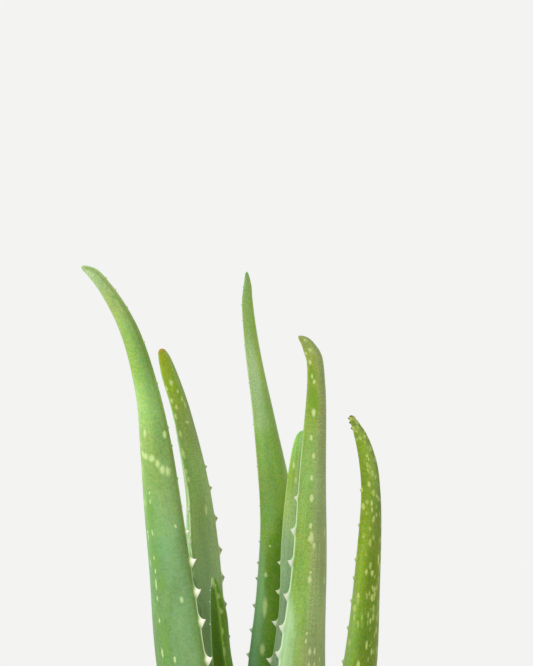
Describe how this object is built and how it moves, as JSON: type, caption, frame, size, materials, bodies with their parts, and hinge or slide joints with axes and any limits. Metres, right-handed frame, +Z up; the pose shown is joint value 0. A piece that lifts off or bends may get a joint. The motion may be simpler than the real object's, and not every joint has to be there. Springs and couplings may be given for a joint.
{
  "type": "potted aloe vera",
  "caption": "Aloe vera rosette with upright toothed succulent leaves, standing in soil in a plain tapered terracotta pot with a rim band.",
  "frame": {"origin": "centre of the pot's flat underside", "axes": "+Z up; -Y is the side that the reference view faces; +X to the right of that view"},
  "size_m": [0.1512, 0.14, 0.3908],
  "materials": {
    "terracotta": "matte",
    "soil": "matte",
    "stem": "matte",
    "leaf": "satin",
    "young_leaf": "satin"
  },
  "bodies": {
    "root": {"pot": "terracotta", "soil": "soil", "stem": "stem", "leaf_left_front": "leaf", "leaf_left_back": "leaf", "leaf_left_young": "young_leaf", "leaf_centre_tall": "leaf", "leaf_centre_young": "young_leaf", "leaf_right_front": "leaf", "leaf_right": "leaf", "leaf_low_right": "leaf", "leaf_low_back": "leaf", "leaf_low_left": "leaf", "leaf_low_front": "leaf"}
  },
  "joints": []
}
